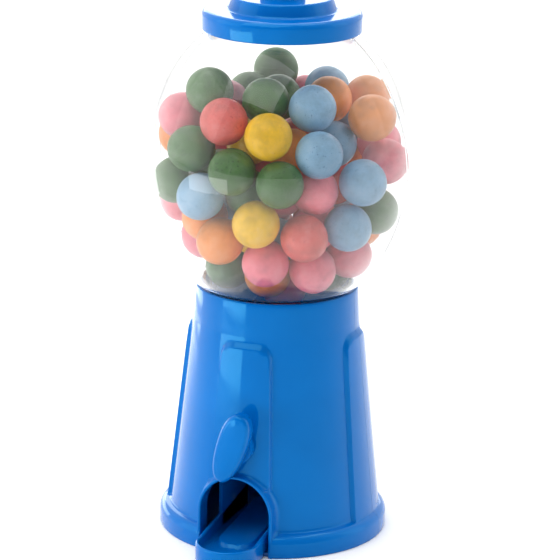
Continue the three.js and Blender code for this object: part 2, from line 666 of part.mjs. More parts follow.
// Gumballs start where they are listed and push each other and the glass away until none touch.
function settledGumballs() {
  const glass = globeCurve(GLOBE_WALL, 60).map(([radius, height]) => new THREE.Vector2(radius, height));
  const clear = GUMBALL_RADIUS + GAP;
  const balls = GUMBALLS.map(([colour, azimuth, height, radius]) => {
    const angle = THREE.MathUtils.degToRad(azimuth);
    return { colour, place: new THREE.Vector3(radius * Math.sin(angle), -radius * Math.cos(angle), height) };
  });
  for (let round = 0; round < 400; round += 1) {
    balls.forEach(({ place }, i) => {
      for (let j = i + 1; j < balls.length; j += 1) pushApart(place, balls[j].place, 2 * clear - GAP);
      keepInside(place, glass, clear + GAP);
    });
  }
  return balls;
}

function pushApart(a, b, distance) {
  const apart = b.clone().sub(a);
  const overlap = distance - apart.length();
  if (overlap <= 0) return;
  apart.setLength(overlap / 2);
  a.sub(apart);
  b.add(apart);
}

function keepInside(place, glass, distance) {
  const radius = Math.hypot(place.x, place.y);
  const point = new THREE.Vector2(radius, place.z);
  const nearest = glass.reduce((best, candidate) => (
    candidate.distanceTo(point) < best.distanceTo(point) ? candidate : best
  ));
  const away = point.clone().sub(nearest);
  if (away.length() >= distance) return;
  away.setLength(distance);
  const moved = nearest.clone().add(away);
  place.set(place.x * moved.x / radius, place.y * moved.x / radius, moved.y);
}

// ---------------------------------------------------------------- assembly

const machine = new THREE.Group();
const SHINY = 0.18;

function add(name, geometry, finish) {
  const mesh = new THREE.Mesh(geometry, finish);
  mesh.name = name;
  machine.add(mesh);
  return mesh;
}

function addSolid(name, body, finish) {
  return add(name, geometryOf(body), finish);
}

addSolid('base_front_shell', baseFrontShell(), material(COLOURS.blue, SHINY));
addSolid('base_rear_shell', baseRearShell(), material(COLOURS.blue, SHINY));
addSolid('bottom_cover', bottomCover(), material(COLOURS.inner, 0.4));
addSolid('chute_tray', chuteTray(), material(COLOURS.blue, SHINY));
addSolid('drum_housing', drumHousing(), material(COLOURS.white, 0.4));
addSolid('dispensing_drum', dispensingDrum(), material(COLOURS.white, 0.4));
addSolid('handle_shaft', handleShaft(), material(COLOURS.white, 0.4));
addSolid('shaft_bushing', shaftBushing(), material(COLOURS.white, 0.4));
addSolid('turn_handle', turnHandle(), material(COLOURS.blue, SHINY));
addSolid('hopper', hopper(), material(COLOURS.inner, 0.3));
addSolid('globe_front_half', half(globe(), true), material(COLOURS.clear, 0.05));
addSolid('globe_rear_half', half(globe(), false), material(COLOURS.clear, 0.05));
addSolid('lid', lid(), material(COLOURS.blue, SHINY));
addSolid('lid_knob', lidKnob(), material(COLOURS.blue, SHINY));

COVER_SCREW_ANGLES.forEach((angle, i) => {
  const [x, y] = coverScrewPlace(angle);
  const headUnderside = SCREW_HEAD_HEIGHT + 0.05;
  add(`cover_screw_${i + 1}`, geometryOf(solid(screw(headUnderside, 11))), material(COLOURS.steel, 0.3, 1))
    .position.set(x, y, 0);
});

SHELL_SCREWS.forEach(([x, z], i) => {
  const body = alongY(screw(SHELL_SCREW_HEAD_Y, SHELL_SCREW_TIP_Y), x, z);
  addSolid(`shell_screw_${i + 1}`, solid(body), material(COLOURS.steel, 0.3, 1));
});

[-LUG_X, LUG_X].forEach((x, i) => {
  const body = alongY(screw(LUG_BACK_Y + GAP, LUG_FRONT_Y - 4.5, 2.3), x, AXIS_Z);
  addSolid(`housing_screw_${i + 1}`, solid(body), material(COLOURS.steel, 0.3, 1));
});

addSolid('lid_knob_screw', solid(screw(LID_TIER_TOP - LID_WALL - GAP, LID_TIER_TOP + 5)),
  material(COLOURS.steel, 0.3, 1));

const counts = {};
settledGumballs().forEach(({ colour, place }) => {
  counts[colour] = (counts[colour] ?? 0) + 1;
  const ball = new THREE.IcosahedronGeometry(GUMBALL_RADIUS, 1);
  add(`gumball_${colour}_${counts[colour]}`, geometryOf(solid(ball)), material(GUMBALL_COLOURS[colour], 0.5))
    .position.copy(place);
});

export default machine;
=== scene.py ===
"""Looks of the toy gumball machine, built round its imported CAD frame.

Shapes are worked out in millimetres, +Z up and the front towards -Y, and are scaled to metres
when a mesh is made. Every piece rides on a CAD body. Most stand for the CAD node they show; the
gumballs at the back of the pile stand for none.
"""
import math
import random

import bmesh
import bpy
import numpy as np
from mathutils import Matrix, Vector, noise


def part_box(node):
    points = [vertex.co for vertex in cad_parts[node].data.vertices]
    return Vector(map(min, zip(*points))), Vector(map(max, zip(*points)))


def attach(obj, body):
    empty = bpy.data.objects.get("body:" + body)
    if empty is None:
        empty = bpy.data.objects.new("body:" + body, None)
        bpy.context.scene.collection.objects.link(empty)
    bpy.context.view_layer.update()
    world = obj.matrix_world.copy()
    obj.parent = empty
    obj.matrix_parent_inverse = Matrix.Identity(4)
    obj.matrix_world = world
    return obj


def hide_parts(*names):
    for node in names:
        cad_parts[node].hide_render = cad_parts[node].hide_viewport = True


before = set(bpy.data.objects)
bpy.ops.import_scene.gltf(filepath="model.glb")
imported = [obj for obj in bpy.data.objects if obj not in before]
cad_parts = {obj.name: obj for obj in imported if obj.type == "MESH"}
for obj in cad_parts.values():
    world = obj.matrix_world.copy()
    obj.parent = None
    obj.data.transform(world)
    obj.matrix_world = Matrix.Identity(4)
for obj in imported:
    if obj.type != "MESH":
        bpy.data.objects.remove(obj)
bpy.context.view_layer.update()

MM = 0.001

# ---------------------------------------------------------------- sizes shared with the frame


def high(node):
    """Highest corner of a CAD node, in millimetres."""
    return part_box(node)[1] / MM


def low(node):
    """Lowest corner of a CAD node, in millimetres."""
    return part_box(node)[0] / MM


def middle(node):
    """Middle of a CAD node's box, in millimetres."""
    return (low(node) + high(node)) / 2


FOOT_RADIUS = high("base_rear_shell").x
RIM_TOP = high("base_rear_shell").z
ARCH_FACE_Y = low("base_front_shell").y
LID_RADIUS = high("lid").x
LID_BOTTOM = low("lid").z
TIER_TOP = high("lid").z
LID_TOP = 177.4
KNOB_RADIUS = high("lid_knob").x
KNOB_TOP = high("lid_knob").z
TRAY_HALF = high("chute_tray").x
TRAY_NOSE_Y = low("chute_tray").y + TRAY_HALF
AXIS_Z = (low("dispensing_drum").z + high("dispensing_drum").z) / 2
GRIP_FRONT_Y = low("turn_handle").y
HUB_BACK_Y = high("turn_handle").y
BALL_RADIUS = 7.7

FOOT_EDGE_TOP = 4.4
FOOT_ROUND = 3.2
PANEL_PROUD = 1.3
PANEL_TOP = 70.1
PANEL_CORNER = 4.6
PANEL_SLOPE = 1.0
PANEL_TOP_SLOPE = 2.1
CONE_START = 35.65
CONE_TAPER = 0.1056
PANEL_HALF_START = 12.7
PANEL_TAPER = 0.0530
RIM_RADIUS = 27.3
RIM_BORE = 25.9
RIM_ROUND = 0.45
LIP_ROUND = 0.35
SHELL_WALL = 1.6
NECK_BOTTOM = 72.6
LEDGE_RADIUS = 23.4
LEDGE_TOP = 73.5
LEDGE_BOTTOM = 72.0
INNER_TOP = 70.0
INNER_BOTTOM = 7.1
COVER_SEAT_RADIUS = 36.9
COVER_SEAT_TOP = 3.9
SHAFT_HOLE = 4.9
RECESS_RADIUS = 3.1
RECESS_FLOOR = 10.7
ARCH_HALF = 12.1
ARCH_CENTRE_Z = 13.8
ARCH_WALL = 1.1
ARCH_BACK_Y = -30.2

GLOBE_RADIUS = high("globe_rear_half").x
GLOBE_MIDDLE = 126.2
GLOBE_REACH = 51.0
GLOBE_POWER = 1.78
GLOBE_ROOT = 2.31
GLOBE_WALL = 1.3
GLOBE_NECK_BOTTOM = 79.0
GLOBE_SEAT = 85.2
GLOBE_TOP = 171.2
SEAM_GAP = 0.26
COLLAR_RADIUS = 23.4
NECK_RADIUS = 25.6
THROAT_Y = -11.5
THROAT_BORE = 9.2
THROAT_WALL = 1.4
THROAT_BOTTOM = 54.8
DISH_LOW = 69.6
DISH_SLOPE = 0.26
DISH_WALL = 1.6
DISH_EDGE = 24.0

# ---------------------------------------------------------------- mesh helpers


def smoothstep(low_edge, high_edge, value):
    t = np.clip((value - low_edge) / (high_edge - low_edge), 0.0, 1.0)
    return t * t * (3 - 2 * t)


def arc(centre_a, centre_b, radius, start, end, steps):
    """Points on an arc, with angles in degrees."""
    angles = np.radians(np.linspace(start, end, steps))
    return [(centre_a + radius * math.cos(a), centre_b + radius * math.sin(a)) for a in angles]


def bezier(a, b, c, steps):
    """Points on a quadratic curve from a to c that leaves and arrives towards b."""
    t = np.linspace(0, 1, steps)[:, None]
    a, b, c = np.array(a, float), np.array(b, float), np.array(c, float)
    return (1 - t) ** 2 * a + 2 * t * (1 - t) * b + t ** 2 * c


def make_object(name, points, faces, sharp_angle=38):
    """A mesh object from points in millimetres, with doubles merged and faces turned outwards."""
    mesh = bpy.data.meshes.new(name)
    mesh.from_pydata([tuple(float(c) * MM for c in p) for p in points], [], faces)
    tidy = bmesh.new()
    tidy.from_mesh(mesh)
    bmesh.ops.remove_doubles(tidy, verts=tidy.verts, dist=1e-7)
    bmesh.ops.recalc_face_normals(tidy, faces=tidy.faces)
    tidy.to_mesh(mesh)
    tidy.free()
    obj = bpy.data.objects.new(name, mesh)
    bpy.context.scene.collection.objects.link(obj)
    shade(obj, sharp_angle)
    return obj


def shade(obj, sharp_angle=38):
    obj.data.polygons.foreach_set("use_smooth", [True] * len(obj.data.polygons))
    obj.data.set_sharp_from_angle(angle=math.radians(sharp_angle))


def loops_mesh(loops, closed_round, wrap):
    """Points and quads of a grid of point loops. Open ends of closed loops are capped."""
    count = len(loops[0])
    points = [p for loop in loops for p in loop]
    faces = []
    for i in range(len(loops) if wrap else len(loops) - 1):
        j = (i + 1) % len(loops)
        for k in range(count if closed_round else count - 1):
            m = (k + 1) % count
            faces.append((i * count + k, i * count + m, j * count + m, j * count + k))
    if closed_round and not wrap:
        faces.append(tuple(range(count)))
        last = (len(loops) - 1) * count
        faces.append(tuple(range(last + count - 1, last - 1, -1)))
    return points, faces


def revolved(name, profile, steps=96, start=0.0, sweep=360.0, sharp_angle=38):
    """A profile of (radius, height) turned about Z, whole or in part. It closes on itself."""
    full = sweep >= 360
    angles = np.radians(start + sweep * np.arange(steps if full else steps + 1) / steps)
    loops = [[(r * math.cos(a), r * math.sin(a), z) for r, z in profile] for a in angles]
    points, faces = loops_mesh(loops, True, full)
    return make_object(name, points, faces, sharp_angle)


def lay_along_y(obj, x=0.0, z=0.0):
    """Lays a turned piece down so that its axis runs along Y: its heights become Y."""
    turn = Matrix.Rotation(math.radians(-90), 4, "X")
    obj.data.transform(Matrix.Translation((x * MM, 0, z * MM)) @ turn)
    return obj


def baked(obj):
    """Applies the modifiers of an object to its mesh."""
    graph = bpy.context.evaluated_depsgraph_get()
    mesh = bpy.data.meshes.new_from_object(obj.evaluated_get(graph))
    obj.modifiers.clear()
    obj.data = mesh
    return obj


def carve(obj, *cutters):
    """Cuts helper solids out of a piece and removes them."""
    for cutter in cutters:
        modifier = obj.modifiers.new("carve", "BOOLEAN")
        modifier.object = cutter
        modifier.operation = "DIFFERENCE"
        modifier.solver = "EXACT"
        baked(obj)
        bpy.data.objects.remove(cutter)
    shade(obj)
    return obj


def prism(outline, front, back):
    """A helper solid: an outline in X and Z pushed along Y."""
    loops = [[(x, y, z) for x, z in outline] for y in (front, back)]
    return make_object("cutter", *loops_mesh(loops, True, False))


def cylinder(radius, bottom, top, place=(0.0, 0.0), steps=48):
    """A helper solid: an upright cylinder."""
    loops = [[(place[0] + radius * math.cos(a), place[1] + radius * math.sin(a), z)
              for a in np.radians(np.arange(steps) * 360 / steps)] for z in (bottom, top)]
    return make_object("cutter", *loops_mesh(loops, True, False))


def join_meshes(name, *pieces):
    """One object that holds the meshes of several, each of them a closed island."""
    merged = bmesh.new()
    for piece in pieces:
        merged.from_mesh(piece.data)
        bpy.data.objects.remove(piece)
    mesh = bpy.data.meshes.new(name)
    merged.to_mesh(mesh)
    merged.free()
    obj = bpy.data.objects.new(name, mesh)
    bpy.context.scene.collection.objects.link(obj)
    shade(obj)
    return obj


def fit(obj, material, body, *nodes):
    """Gives a piece its material and body, and lets it stand for its CAD nodes."""
    obj.data.materials.clear()
    obj.data.materials.append(material)
    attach(obj, body)
    if nodes:
        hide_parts(*nodes)
    return obj


# ---------------------------------------------------------------- materials


class Look:
    """A node material with one Principled shader, and short ways to add nodes to it."""

    def __init__(self, name, color, roughness, **sockets):
        self.material = bpy.data.materials.new(name)
        self.material.use_nodes = True
        self.tree = self.material.node_tree
        self.shader = self.tree.nodes["Principled BSDF"]
        self.set(**{"Base Color": (*color, 1), "Roughness": roughness})
        self.set(**{key.replace("_", " "): value for key, value in sockets.items()})
        self.place = self.tree.nodes.new("ShaderNodeTexCoord").outputs["Object"]

    def set(self, **values):
        for key, value in values.items():
            self.shader.inputs[key].default_value = value

    def noise(self, scale, detail=3.0, roughness=0.5):
        node = self.tree.nodes.new("ShaderNodeTexNoise")
        node.inputs["Scale"].default_value = scale
        node.inputs["Detail"].default_value = detail
        node.inputs["Roughness"].default_value = roughness
        self.tree.links.new(self.place, node.inputs["Vector"])
        return node.outputs["Fac"]

    def dots(self, scale):
        """Distance from the nearest of many scattered points, as a share of their spacing."""
        node = self.tree.nodes.new("ShaderNodeTexVoronoi")
        node.inputs["Scale"].default_value = scale
        self.tree.links.new(self.place, node.inputs["Vector"])
        return node.outputs["Distance"]

    def ramp(self, factor, *stops):
        """A colour ramp: stops are (position, colour), and a single number is a grey."""
        node = self.tree.nodes.new("ShaderNodeValToRGB")
        elements = node.color_ramp.elements
        while len(elements) < len(stops):
            elements.new(0.5)
        for element, (position, color) in zip(elements, stops):
            element.position = position
            element.color = (*color, 1) if hasattr(color, "__len__") else (color, color, color, 1)
        self.tree.links.new(factor, node.inputs["Fac"])
        return node.outputs["Color"]

    def mix(self, factor, a, b, kind="MIX"):
        node = self.tree.nodes.new("ShaderNodeMix")
        node.data_type = "RGBA"
        node.blend_type = kind
        for socket, value in ((node.inputs[0], factor), (node.inputs[6], a), (node.inputs[7], b)):
            if isinstance(value, bpy.types.NodeSocket):
                self.tree.links.new(value, socket)
            else:
                socket.default_value = value if isinstance(value, float) else (*value, 1)
        return node.outputs[2]

    def wire(self, output, socket):
        self.tree.links.new(output, self.shader.inputs[socket])

    def bump(self, *heights):
        """Bumps stacked one on another: each is (height, distance in millimetres, strength)."""
        normal = None
        for height, distance, strength in heights:
            node = self.tree.nodes.new("ShaderNodeBump")
            node.inputs["Distance"].default_value = distance * MM
            node.inputs["Strength"].default_value = strength
            self.tree.links.new(height, node.inputs["Height"])
            if normal is not None:
                self.tree.links.new(normal, node.inputs["Normal"])
            normal = node.outputs["Normal"]
        self.wire(normal, "Normal")


def blue_plastic():
    """Glossy moulded plastic: even colour with faint flow marks and a slightly wavy skin."""
    look = Look("blue_plastic", (0.0, 0.124, 0.475), 0.1, IOR=1.48)
    look.set(**{"Specular Tint": (0.16, 0.82, 1.0, 1)})
    flow = look.noise(38, 3)
    look.wire(look.ramp(flow, (0.3, (0.0, 0.115, 0.445)), (0.7, (0.0, 0.133, 0.50))), "Base Color")
    look.wire(look.ramp(look.noise(120, 4), (0.35, 0.05), (0.75, 0.12)), "Roughness")
    look.bump((look.noise(45, 2), 0.05, 0.22), (look.noise(1400, 2), 0.003, 0.2))
    return look.material


def plain_plastic(name, color, roughness):
    """Satin moulded plastic with a fine grain, for the pieces inside."""
    look = Look(name, color, roughness)
    darker = tuple(0.86 * c for c in color)
    look.wire(look.ramp(look.noise(90, 4), (0.3, darker), (0.7, color)), "Base Color")
    look.wire(look.ramp(look.noise(300, 3), (0.3, roughness * 0.8), (0.7, roughness * 1.2)), "Roughness")
    look.bump((look.noise(900, 3), 0.02, 0.3))
    return look.material


def clear_plastic():
    """Clear polished plastic. Light passes it without casting the dark shadow of solid glass."""
    look = Look("clear_plastic", (0.95, 0.955, 0.955), 0.0, IOR=1.46)
    look.set(**{"Transmission Weight": 1.0})
    look.wire(look.ramp(look.noise(60, 3), (0.4, 0.0), (0.8, 0.02)), "Roughness")
    look.bump((look.noise(30, 2), 0.02, 0.15))
    nodes, links = look.tree.nodes, look.tree.links
    shadow = nodes.new("ShaderNodeLightPath").outputs["Is Shadow Ray"]
    through = nodes.new("ShaderNodeBsdfTransparent")
    through.inputs["Color"].default_value = (0.975, 0.98, 0.98, 1)
    mixer = nodes.new("ShaderNodeMixShader")
    links.new(shadow, mixer.inputs[0])
    links.new(look.shader.outputs[0], mixer.inputs[1])
    links.new(through.outputs[0], mixer.inputs[2])
    links.new(mixer.outputs[0], nodes["Material Output"].inputs["Surface"])
    return look.material


def screw_steel():
    look = Look("screw_steel", (0.52, 0.52, 0.54), 0.32, Metallic=1.0)
    look.wire(look.ramp(look.noise(500, 3), (0.3, 0.24), (0.7, 0.42)), "Roughness")
    look.bump((look.noise(1800, 2), 0.01, 0.3))
    return look.material


GUMBALL_LOOKS = {
    # colour name: shell colour, speckle colour, share of the surface that is speckled
    "green": ((0.058, 0.165, 0.036), (0.006, 0.022, 0.008), 0.66),
    "coral": ((0.80, 0.145, 0.125), (0.46, 0.05, 0.06), 0.36),
    "pink": ((0.92, 0.225, 0.285), (0.66, 0.12, 0.18), 0.30),
    "orange": ((0.92, 0.300, 0.050), (0.68, 0.17, 0.02), 0.30),
    "yellow": ((0.95, 0.560, 0.006), (0.76, 0.36, 0.01), 0.34),
    "blue": ((0.255, 0.460, 0.66), (0.10, 0.22, 0.40), 0.36),
}


def gumball_shell(color):
    """A sugar shell: colour that clouds a little, small dark specks, pale dust and tiny pits."""
    shell, speck, share = GUMBALL_LOOKS[color]
    look = Look(f"gumball_{color}", shell, 0.45, Coat_Weight=0.35, Coat_Roughness=0.18)
    pale = tuple(c + 0.10 * (1 - c) for c in shell)
    dark = tuple(0.78 * c for c in shell)
    clouds = look.ramp(look.noise(150, 5, 0.65), (0.32, dark), (0.52, shell), (0.74, pale))
    specks = look.ramp(look.dots(1050), (0.16, 1.0), (0.27, 0.0))
    patches = look.ramp(look.noise(420, 3, 0.6), (0.62 - share / 4, 0.0), (0.68 - share / 4, 1.0))
    where = look.mix(1.0, specks, patches, "MULTIPLY")
    look.wire(look.mix(where, clouds, speck), "Base Color")
    look.wire(look.ramp(look.noise(240, 3), (0.3, 0.36), (0.7, 0.58)), "Roughness")
    look.bump((look.noise(420, 4), 0.12, 0.4), (specks, 0.06, 0.35))
    return look.material


BLUE = blue_plastic()
INNER_BLUE = plain_plastic("inner_blue_plastic", (0.004, 0.12, 0.45), 0.35)
WHITE = plain_plastic("white_plastic", (0.80, 0.80, 0.77), 0.4)
CLEAR = clear_plastic()
STEEL = screw_steel()
GUMBALL_SHELLS = {color: gumball_shell(color) for color in GUMBALL_LOOKS}

# ---------------------------------------------------------------- base shells


def cone_radius(z):
    """Outer radius of the base between its panels. The neck tapers less than the cone."""
    cone = CONE_START - CONE_TAPER * z
    share = np.clip((z - NECK_BOTTOM) / (RIM_TOP - NECK_BOTTOM), 0, 1)
    neck = (1 - share) * (CONE_START - CONE_TAPER * NECK_BOTTOM) + share * RIM_RADIUS
    return np.where(np.asarray(z) > NECK_BOTTOM, neck, cone)


def panel_half_width(z):
    return PANEL_HALF_START - PANEL_TAPER * z


def panel_share(side, z):
    """1 on a panel's face and 0 off it, by distance from its rounded outline."""
    across = np.abs(side) - (panel_half_width(z) - PANEL_CORNER)
    above = z - (PANEL_TOP - PANEL_CORNER)
    outside = np.hypot(np.maximum(across, 0), np.maximum(above, 0))
    distance = np.minimum(np.maximum(across, above), 0) + outside - PANEL_CORNER
    upward = np.clip(above / np.maximum(outside, 1e-6), 0, 1) * (outside > 0)
    slope = PANEL_SLOPE + (PANEL_TOP_SLOPE - PANEL_SLOPE) * upward
    straight = np.clip(0.5 - distance / slope, 0, 1)
    return 0.6 * straight + 0.4 * (1 - smoothstep(-slope / 2, slope / 2, distance))


def skin_radius(angle, z):
    """Outer radius of the base at an angle from the front, in degrees, above its foot."""
    turned = (angle + 45) % 90 - 45
    radius = cone_radius(z)
    return radius + PANEL_PROUD * panel_share(np.radians(turned) * (radius + PANEL_PROUD), z)


def skin_y(x, z):
    """Y of the front of the base at a place across it, foot included."""
    radius = 34.0
    for _ in range(6):
        angle = math.degrees(math.asin(max(-1, min(1, x / radius))))
        radius = float(skin_radius(angle, np.float64(z)))
    lift = z - FOOT_EDGE_TOP
    if lift < FOOT_ROUND:
        foot = FOOT_RADIUS - FOOT_ROUND + math.sqrt(FOOT_ROUND ** 2 - max(lift, 0) ** 2)
        radius = max(radius, foot)
    return -math.sqrt(max(radius ** 2 - x ** 2, 1))


def panel_angles(z):
    """Angles from a panel's middle to the corner between two panels, close together at its edge."""
    radius = float(cone_radius(z)) + PANEL_PROUD
    edge = panel_half_width(z) / radius
    reach = 1.5 / radius
    inside = (edge - reach) * np.linspace(0, 1, 7)[:-1]
    across = edge + reach * np.linspace(-1, 1, 19)
    outside = (edge + reach) + (math.pi / 4 - edge - reach) * np.linspace(0, 1, 8)[1:]
    return np.degrees(np.concatenate([inside, across, outside]))


def shell_angles(z):
    """Angles across one half of the base, from seam to seam, through a whole panel in the middle."""
    to_corner = panel_angles(z)
    from_corner = 90 - to_corner[::-1][1:]
    right = np.concatenate([to_corner, from_corner])
    return np.concatenate([-right[::-1][:-1], right])


def foot_profile(angle):
    """The foot's roll and the hollow where it meets the cone, at one angle."""
    foot_centre = FOOT_RADIUS - FOOT_ROUND
    target = float(skin_radius(angle, np.float64(FOOT_EDGE_TOP + FOOT_ROUND + 1)))
    end = math.degrees(math.acos(np.clip((target + 0.5 - foot_centre) / FOOT_ROUND, 0.12, 1)))
    roll = arc(foot_centre, FOOT_EDGE_TOP, FOOT_ROUND, 0, end, 10)
    last = roll[-1]
    top = last[1] + 1.1
    target = float(skin_radius(angle, np.float64(top)))
    hollow = bezier(last, (target + 0.05, last[1] + 0.12), (target, top), 7)[1:]
    side = [(FOOT_RADIUS - 0.6, 0.0), (FOOT_RADIUS - 0.15, 0.12), (FOOT_RADIUS, 0.5), (FOOT_RADIUS, 2.4)]
    return side + roll + [tuple(p) for p in hollow]


CONE_HEIGHTS = np.concatenate([
    np.linspace(11, 66.5, 14), np.linspace(66.5, 73.2, 36)[1:], np.linspace(73.2, RIM_TOP - 0.5, 6)[1:],
])


def rim_and_bore():
    """From the neck's outer edge over the rim and down inside to the table."""
    rim = arc(RIM_RADIUS - RIM_ROUND, RIM_TOP - RIM_ROUND, RIM_ROUND, 20, 90, 4)
    lip = arc(RIM_BORE + LIP_ROUND, RIM_TOP - LIP_ROUND, LIP_ROUND, 90, 180, 4)
    ledge = [(RIM_BORE, LEDGE_TOP + 0.5), (LEDGE_RADIUS, LEDGE_TOP), (LEDGE_RADIUS, LEDGE_BOTTOM)]
    wall = [(cone_radius(z) - SHELL_WALL, z) for z in (INNER_TOP, INNER_BOTTOM)]
    seat = [(COVER_SEAT_RADIUS, COVER_SEAT_TOP), (COVER_SEAT_RADIUS, 0.0)]
    return rim + lip + [(float(r), float(z)) for r, z in ledge + wall + seat]


def base_shell(name, front):
    """Half of the base as one closed wall, from seam to seam."""
    seam_gap = 0.05
    count = len(shell_angles(30.0))
    inner = rim_and_bore()
    loops = []
    for k in range(count):
        foot_angle = float(shell_angles(9.0)[k])
        loop = [(r, foot_angle, z) for r, z in foot_profile(foot_angle)]
        for z in CONE_HEIGHTS:
            angle = float(shell_angles(z)[k])
            loop.append((float(skin_radius(angle, z)), angle, float(z)))
        rim_angle = float(shell_angles(RIM_TOP)[k])
        loop += [(r, rim_angle, z) for r, z in inner]
        points = []
        for radius, angle, z in loop:
            a = math.radians(angle)
            y = -radius * math.cos(a)
            points.append((radius * math.sin(a), min(y, -seam_gap), z))
        if not front:
            points = [(-x, -y, z) for x, y, z in points]
        loops.append(points)
    return make_object(name, *loops_mesh(loops, True, False))


def arch_path(half, steps=48):
    """Up one post of the chute mouth, over the arch and down the other: (x, z, outward x, outward z)."""
    posts = np.linspace(0.02, ARCH_CENTRE_Z, 16)
    up = [(-half, z, -1.0, 0.0) for z in posts[:-1]]
    over = [(-half * math.cos(a), ARCH_CENTRE_Z + half * math.sin(a), -math.cos(a), math.sin(a))
            for a in np.linspace(0, math.pi, steps)]
    down = [(half, z, 1.0, 0.0) for z in posts[::-1][1:]]
    return up + over + down


def skin_beside(x, z, out_x, out_z, distance):
    """Y of the front of the base at a distance outward from a point of the arch."""
    return skin_y(x + out_x * distance, max(z + out_z * distance, 0.02))


def hood(name):
    """The lip of the chute mouth: a flat face with round edges that flares into the base."""
    edge = 0.45
    step = 0.4
    loops = []
    for post in arch_path(ARCH_HALF):
        x, z, out_x, out_z = post
        height = skin_beside(*post, ARCH_WALL) - ARCH_FACE_Y
        flare = float(np.clip(0.7 * height, 0.3, 1.3))
        end = ARCH_WALL + flare
        end_y = skin_beside(*post, end) + 0.04
        slope = (skin_beside(*post, end + step) - skin_beside(*post, end)) / step
        start_y = ARCH_FACE_Y + float(np.clip(0.45 * height, 0.02, edge))
        corner = bezier((ARCH_WALL - edge, ARCH_FACE_Y), (ARCH_WALL, ARCH_FACE_Y), (ARCH_WALL, start_y), 6)
        flaring = bezier((ARCH_WALL, start_y), (ARCH_WALL, end_y - slope * flare), (end, end_y), 12)[1:]
        inner_edge = bezier((0, ARCH_FACE_Y + edge), (0, ARCH_FACE_Y), (edge, ARCH_FACE_Y), 6)
        back = [(end, end_y + 0.9), (ARCH_WALL, ARCH_BACK_Y)]
        section = [(0, ARCH_BACK_Y), *inner_edge, *corner, *flaring, *back]
        loops.append([(x + out_x * d, y, z + out_z * d) for d, y in section])
    return make_object(name, *loops_mesh(loops, True, False), sharp_angle=50)


def arch_outline(half, bottom):
    return [(half, bottom), *arc(0, ARCH_CENTRE_Z, half, 0, 180, 48), (-half, bottom)]


SHELL_SCREW_PLACES = [(middle(f"shell_screw_{i}").x, middle(f"shell_screw_{i}").z) for i in (1, 2, 3, 4)]


def base_front():
    shell = base_shell("base_front_wall", True)
    face_half = ARCH_HALF + ARCH_WALL - 0.1
    face = [(face_half, -1), (face_half, 10), (-face_half, 10), (-face_half, -1)]
    carve(shell, prism(arch_outline(ARCH_HALF + 0.4, -1), -60, -20), prism(face, -60, ARCH_FACE_Y + 0.03),
          lay_along_y(cylinder(SHAFT_HOLE, -60, -20), 0, AXIS_Z))
    piece = join_meshes("front_shell", shell, hood("hood"))
    return fit(piece, BLUE, "base", "base_front_shell")


def base_rear():
    shell = base_shell("rear_shell", False)
    recesses = []
    for x, z in SHELL_SCREW_PLACES:
        recesses.append(lay_along_y(cylinder(RECESS_RADIUS, RECESS_FLOOR, 60), x, z))
    carve(shell, *recesses)
    hole, outside, bottom, top = 1.6, 4.2, 9.2, 17.0
    profile = [(hole, bottom), (outside, bottom), (outside, top), (RECESS_RADIUS, top),
               (RECESS_RADIUS, RECESS_FLOOR), (hole, RECESS_FLOOR)]
    cups = [lay_along_y(revolved("cup", profile, 40), x, z) for x, z in SHELL_SCREW_PLACES]
    piece = join_meshes("rear_shell", shell, *cups)
    return fit(piece, BLUE, "base", "base_rear_shell")


def bottom_cover():
    rim = high("bottom_cover").y
    edge, thick = 0.3, 1.2
    lower_edge = arc(rim - edge, edge, edge, -90, 0, 4)
    upper_edge = arc(rim - edge, thick - edge, edge, 0, 90, 4)
    profile = [(0.01, 0), *lower_edge, *upper_edge, (0.01, thick)]
    cover = revolved("underside_cover", profile, 96)
    box = [(-30, -1), (-30, 9), (30, 9), (30, -1)]
    cutters = [prism(box, -60, ARCH_FACE_Y + 0.9)]
    for i in (1, 2, 3):
        place = middle(f"cover_screw_{i}")
        cutters.append(cylinder(3.1, -1, 3, (place.x, place.y)))
    carve(cover, *cutters)
    return fit(cover, INNER_BLUE, "base", "bottom_cover")


# ---------------------------------------------------------------- tray


TRAY_WALL = 1.4
TRAY_FLOOR = 2.7
TRAY_RIM = 6.2
TRAY_CLIMB = 0.1465
RAMP_HALF = 6.6
RAMP_NOSE_Y = -32.6
RAMP_LOW = 3.9
RAMP_CLIMB = 0.082
CHEEK_FRONT_Y = -23.6


def tray_rim(y):
    return TRAY_RIM + TRAY_CLIMB * max(y - TRAY_NOSE_Y, 0)


def tray_inside(x, y):
    """Height of the floor, with the ramp that rises out of it to the back."""
    ahead = max(RAMP_NOSE_Y - y, 0)
    distance = math.hypot(x, ahead) - RAMP_HALF if ahead > 0 else abs(x) - RAMP_HALF
    on_ramp = 1 - float(smoothstep(-0.7, 0.45, distance))
    top = RAMP_LOW + RAMP_CLIMB * (y - RAMP_NOSE_Y + RAMP_HALF)
    return TRAY_FLOOR + (top - TRAY_FLOOR) * on_ramp


def tray_path():
    """Round the outside of the tray: (x, y, inward x, inward y), right side first."""
    back = -0.05
    sides = np.linspace(back, TRAY_NOSE_Y, 60)
    right = [(TRAY_HALF, y, -1.0, 0.0) for y in sides[:-1]]
    nose = [(TRAY_HALF * math.cos(a), TRAY_NOSE_Y - TRAY_HALF * math.sin(a), -math.cos(a), math.sin(a))
            for a in np.linspace(0, math.pi, 72)]
    left = [(-TRAY_HALF, y, 1.0, 0.0) for y in sides[::-1][1:]]
    return right + nose + left


